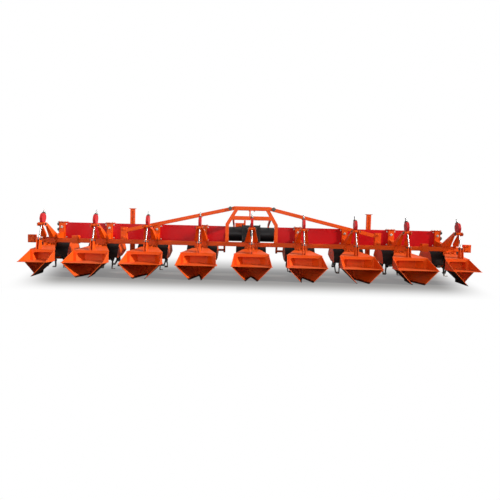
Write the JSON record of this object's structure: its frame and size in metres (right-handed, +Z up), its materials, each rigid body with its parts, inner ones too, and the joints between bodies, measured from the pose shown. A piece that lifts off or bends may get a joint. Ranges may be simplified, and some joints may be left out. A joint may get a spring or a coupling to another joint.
{
  "type": "mounted rotary inter-row cultivator",
  "caption": "Tractor-mounted rotary inter-row cultivator with driven tine rotors, spring-loaded ridging bodies along one frame and a three-point headstock.",
  "frame": {"origin": "middle of the machine's box, on the floor", "axes": "+X along the row of units to the right seen from behind, +Y to the tractor, +Z up"},
  "size_m": [6.64, 1.43, 1.043],
  "materials": {
    "orange_paint": "gloss",
    "guard_red": "gloss",
    "cap_red": "satin",
    "drive_black": "satin",
    "tine_black": "matte",
    "bright_steel": "satin"
  },
  "bodies": {
    "root": {"toolbar": "orange_paint", "front_beam": "orange_paint", "bar_blocks": "orange_paint", "unit_arms": "orange_paint", "chain_cases": "orange_paint", "case_caps": "orange_paint", "headstock_uprights": "orange_paint", "headstock_bars": "orange_paint", "headstock_struts": "orange_paint", "braces": "orange_paint", "brace_feet": "orange_paint", "top_link_plates": "orange_paint", "lower_link_brackets": "orange_paint", "tool_box": "orange_paint", "tower_clamps": "orange_paint", "tower_plates": "orange_paint", "rod_clevises": "orange_paint", "hood_hinges": "orange_paint", "ridger_hoods": "orange_paint", "wing_plates": "orange_paint", "ridger_decks": "orange_paint", "mouldboards": "orange_paint", "rotor_hoods": "orange_paint", "stand_sleeves": "orange_paint", "guards": "guard_red", "spring_caps": "cap_red", "gearbox": "drive_black", "shaft_shields": "drive_black", "pto_guard": "drive_black", "trunnions": "bright_steel", "pressure_rods": "bright_steel"},
    "line_shaft": {"line_shaft": "bright_steel"},
    "input_shaft": {"input_shaft": "bright_steel"},
    "stand_left": {"stand_left": "orange_paint"},
    "stand_right": {"stand_right": "orange_paint"},
    "rotor_1": {"rotor_1": "tine_black"},
    "rotor_2": {"rotor_2": "tine_black"},
    "rotor_3": {"rotor_3": "tine_black"},
    "rotor_4": {"rotor_4": "tine_black"},
    "rotor_5": {"rotor_5": "tine_black"},
    "rotor_6": {"rotor_6": "tine_black"},
    "rotor_7": {"rotor_7": "tine_black"},
    "rotor_8": {"rotor_8": "tine_black"},
    "rotor_9": {"rotor_9": "tine_black"}
  },
  "joints": [
    {"name": "line_shaft_turn", "type": "hinge", "parent": "root", "child": "line_shaft", "pos_m": [0, 0.4265, 0.6], "axis": [1, 0, 0], "continuous": true},
    {"name": "input_turn", "type": "hinge", "parent": "root", "child": "input_shaft", "pos_m": [0, 0.705, 0.49], "axis": [0, 1, 0], "continuous": true},
    {"name": "rotor_1_turn", "type": "hinge", "parent": "root", "child": "rotor_1", "pos_m": [-3, 0.285, 0.235], "axis": [1, 0, 0], "continuous": true},
    {"name": "rotor_2_turn", "type": "hinge", "parent": "root", "child": "rotor_2", "pos_m": [-2.25, 0.285, 0.235], "axis": [1, 0, 0], "continuous": true},
    {"name": "rotor_3_turn", "type": "hinge", "parent": "root", "child": "rotor_3", "pos_m": [-1.5, 0.285, 0.235], "axis": [1, 0, 0], "continuous": true},
    {"name": "rotor_4_turn", "type": "hinge", "parent": "root", "child": "rotor_4", "pos_m": [-0.75, 0.285, 0.235], "axis": [1, 0, 0], "continuous": true},
    {"name": "rotor_5_turn", "type": "hinge", "parent": "root", "child": "rotor_5", "pos_m": [0, 0.285, 0.235], "axis": [1, 0, 0], "continuous": true},
    {"name": "rotor_6_turn", "type": "hinge", "parent": "root", "child": "rotor_6", "pos_m": [0.75, 0.285, 0.235], "axis": [1, 0, 0], "continuous": true},
    {"name": "rotor_7_turn", "type": "hinge", "parent": "root", "child": "rotor_7", "pos_m": [1.5, 0.285, 0.235], "axis": [1, 0, 0], "continuous": true},
    {"name": "rotor_8_turn", "type": "hinge", "parent": "root", "child": "rotor_8", "pos_m": [2.25, 0.285, 0.235], "axis": [1, 0, 0], "continuous": true},
    {"name": "rotor_9_turn", "type": "hinge", "parent": "root", "child": "rotor_9", "pos_m": [3, 0.285, 0.235], "axis": [1, 0, 0], "continuous": true},
    {"name": "stand_left_lift", "type": "slide", "parent": "root", "child": "stand_left", "axis": [0, 0, 1], "range_m": [0, 0.35]},
    {"name": "stand_right_lift", "type": "slide", "parent": "root", "child": "stand_right", "axis": [0, 0, 1], "range_m": [0, 0.35]}
  ],
  "couplings": [
    {"joint": "rotor_1_turn", "follows": "line_shaft_turn", "ratio": 1},
    {"joint": "rotor_2_turn", "follows": "line_shaft_turn", "ratio": 1},
    {"joint": "rotor_3_turn", "follows": "line_shaft_turn", "ratio": 1},
    {"joint": "rotor_4_turn", "follows": "line_shaft_turn", "ratio": 1},
    {"joint": "rotor_5_turn", "follows": "line_shaft_turn", "ratio": 1},
    {"joint": "rotor_6_turn", "follows": "line_shaft_turn", "ratio": 1},
    {"joint": "rotor_7_turn", "follows": "line_shaft_turn", "ratio": 1},
    {"joint": "rotor_8_turn", "follows": "line_shaft_turn", "ratio": 1},
    {"joint": "rotor_9_turn", "follows": "line_shaft_turn", "ratio": 1},
    {"joint": "input_turn", "follows": "line_shaft_turn", "ratio": 2}
  ]
}
